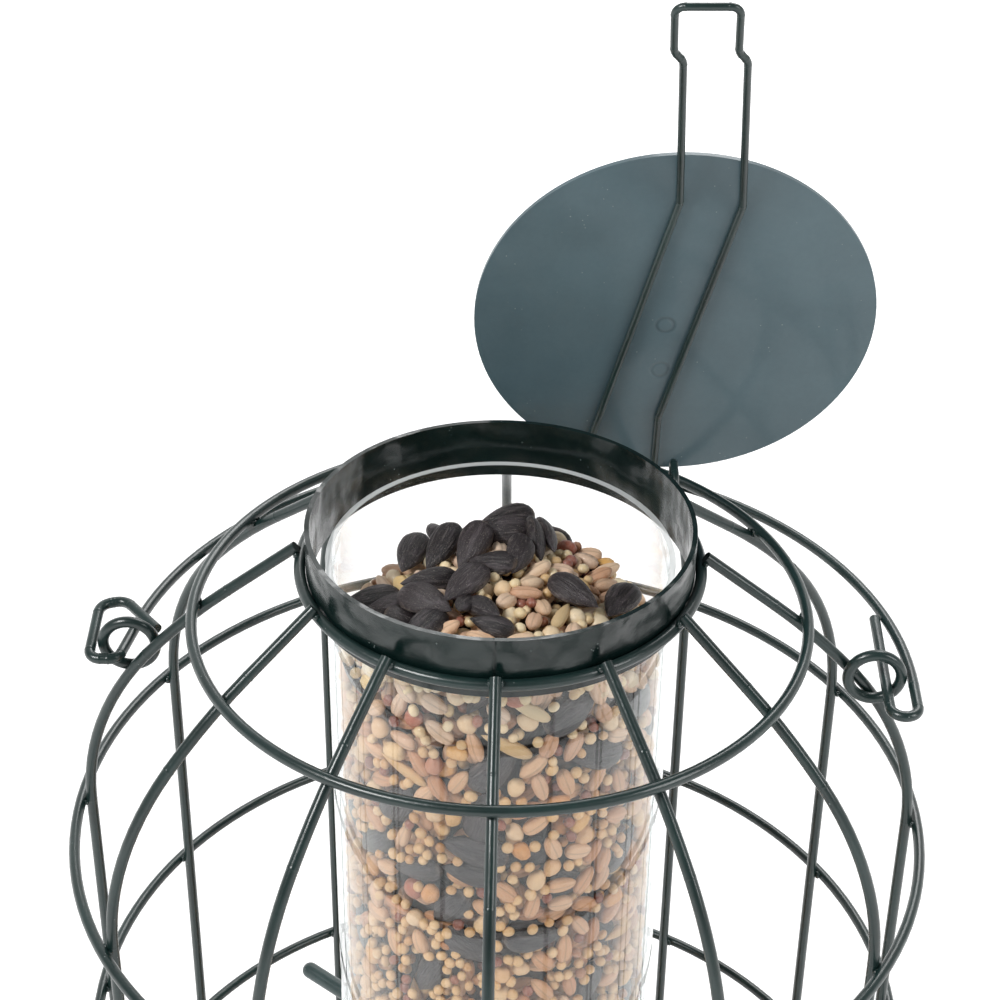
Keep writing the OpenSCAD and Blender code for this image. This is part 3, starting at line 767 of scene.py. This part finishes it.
def weld_beads():
    """Two beads where each upright crosses each ring, read from the wires' own places."""
    rng = random.Random(11)
    bm = bmesh.new()
    ribs = [n for n in nodes if n.startswith("rib_")]
    rings = [n for n in nodes if n.startswith("ring_")] + ["neck_ring", "foot_ring"]
    wire = WIRE * MM
    for rib in ribs:
        low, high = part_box(rib)
        out = Vector(((low.x + high.x) / 2, (low.y + high.y) / 2, 0.0)).normalized()
        side = Vector((-out.y, out.x, 0.0))
        turn = Matrix((side, out, Vector((0, 0, 1)))).transposed()
        for ring in rings:
            r_low, r_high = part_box(ring)
            z = (r_low.z + r_high.z) / 2
            radius = (r_high.x - r_low.x) / 2 - wire / 2
            degrees, step = RING_TOUCH.get(ring, SIDE_TOUCH)
            slope = math.radians(degrees)
            # The lower half of the cage is the upper one's mirror image
            lift = math.sin(slope) * (1 if z > HEIGHT * MM / 2 else -1)
            away = out * -math.cos(slope) + Vector((0, 0, lift))
            place = out * radius + Vector((0, 0, z)) + away * wire * step
            for s in (-1, 1):
                spot = place + side * s * rng.uniform(0.8, 1.1) * MM
                spot.z += rng.uniform(-0.3, 0.3) * MM
                size = (rng.uniform(0.6, 0.95) * MM, 0.75 * MM, rng.uniform(0.6, 1.0) * MM)
                bead(bm, spot, size, turn, rng)
    mesh = bpy.data.meshes.new("weld_beads")
    bm.to_mesh(mesh)
    bm.free()
    new_piece("weld_beads", mesh, coat_wire, "feeder")


fill_tube()
seed_core()
weld_beads()


# Camera

# Width of the sensor in millimetres, and the photograph's side and focal length in pixels
SENSOR = 36.0
PHOTO_SIDE = 1000.0
PHOTO_FOCAL = 2328.86
# Degrees that the camera looks down, turns to the right and leans, and its place from the rim's middle
CAMERA_PITCH = 33.473
CAMERA_YAW = -0.04
CAMERA_ROLL = 0.694
CAMERA_PLACE = (0.00001, -0.39267, 0.2652)


def photo_camera():
    """The photograph's own view."""
    data = bpy.data.cameras.new("camera")
    data.sensor_width = SENSOR
    data.lens = SENSOR * PHOTO_FOCAL / PHOTO_SIDE
    data.clip_start = 0.01
    camera = add_object("camera", data)
    pitch = math.radians(CAMERA_PITCH)
    yaw = math.radians(CAMERA_YAW)
    roll = math.radians(CAMERA_ROLL)
    look = Vector((math.sin(yaw) * math.cos(pitch), math.cos(yaw) * math.cos(pitch), -math.sin(pitch)))
    right = look.cross(Vector((0, 0, 1))).normalized()
    up = right.cross(look)
    side = right * math.cos(roll) + up * math.sin(roll)
    top = up * math.cos(roll) - right * math.sin(roll)
    turn = Matrix((side, top, -look)).transposed().to_4x4()
    x, y, above = CAMERA_PLACE
    camera.matrix_world = Matrix.Translation((x, y, above + HEIGHT * MM)) @ turn
    bpy.context.scene.camera = camera


# Floor and light

# Radius of the floor, and the squared distances between which it goes over to plain white
FLOOR_RADIUS = 3.0
FLOOR_NEAR = 0.25
FLOOR_FAR = 1.2
# Point that the lamps look at
LAMP_AIM = (0, 0, 0.25)


def ray_seen(paint, glossy=True):
    """1 for rays of the camera, through glass and, where wanted, of reflections; 0 for the rest."""
    ray = paint.node("ShaderNodeLightPath").socket.node.outputs
    seen = Signal(paint, ray["Is Camera Ray"]) + Signal(paint, ray["Is Transmission Ray"])
    if glossy:
        seen = seen + Signal(paint, ray["Is Glossy Ray"])
    return seen.between(0.0, 1.0)


def room_light(sky):
    """Pure white to the camera and through glass; else white low down and behind, dim above in front."""
    seen = ray_seen(sky, glossy=False)
    y, z = sky.split(sky.place("Generated"))[1:]
    dim = z.between(0.05, 0.4) * (1.0 - y.between(0.1, 0.7))
    plain = 1.0 - dim * 0.86
    return seen * (1.0 - plain) + plain


def floor_paint():
    """Pale floor, shaded by the object near it and plain white further out where it is seen."""
    p = Paint("floor")
    place = p.place()
    x, y = p.split(place)[:2]
    far = (x * x + y * y).between(FLOOR_NEAR, FLOOR_FAR)
    colour = p.blend(p.noise(place, 3.0, 2.0), rgb(243, 243, 243), rgb(247, 247, 247))
    p.set(Base_Color=colour, Roughness=0.6)
    p.set(Emission_Color=ray_seen(p) * (far * 0.7 + 0.3), Emission_Strength=1.0)
    return p.material


def floor_disc():
    mesh = bpy.data.meshes.new("floor")
    bm = bmesh.new()
    bmesh.ops.create_circle(bm, cap_ends=True, segments=64, radius=FLOOR_RADIUS)
    bm.to_mesh(mesh)
    bm.free()
    mesh.materials.append(floor_paint())
    floor = add_object("floor", mesh)


def room():
    world = bpy.data.worlds.new("studio")
    bpy.context.scene.world = world
    world.use_nodes = True
    back = next(n for n in world.node_tree.nodes if n.type == "BACKGROUND")
    sky = Nodes(world.node_tree)
    sky.feed(back.inputs["Color"], WHITE)
    sky.feed(back.inputs["Strength"], room_light(sky))


def lamp(name, place, size, power):
    data = bpy.data.lights.new(name, "AREA")
    data.shape = "RECTANGLE"
    data.size, data.size_y = size
    data.energy = power
    light = add_object(name, data)
    light.location = place
    aim = Vector(LAMP_AIM) - Vector(place)
    light.rotation_euler = aim.to_track_quat("-Z", "Y").to_euler()


photo_camera()
floor_disc()
room()
lamp("key", (-0.9, -0.7, 1.5), (0.5, 0.5), 20.0)
lamp("fill", (1.1, -0.6, 1.1), (0.4, 0.8), 8.0)
lamp("rim", (0.3, 1.1, 1.4), (0.9, 0.4), 8.0)
bpy.context.scene.view_settings.view_transform = "Standard"
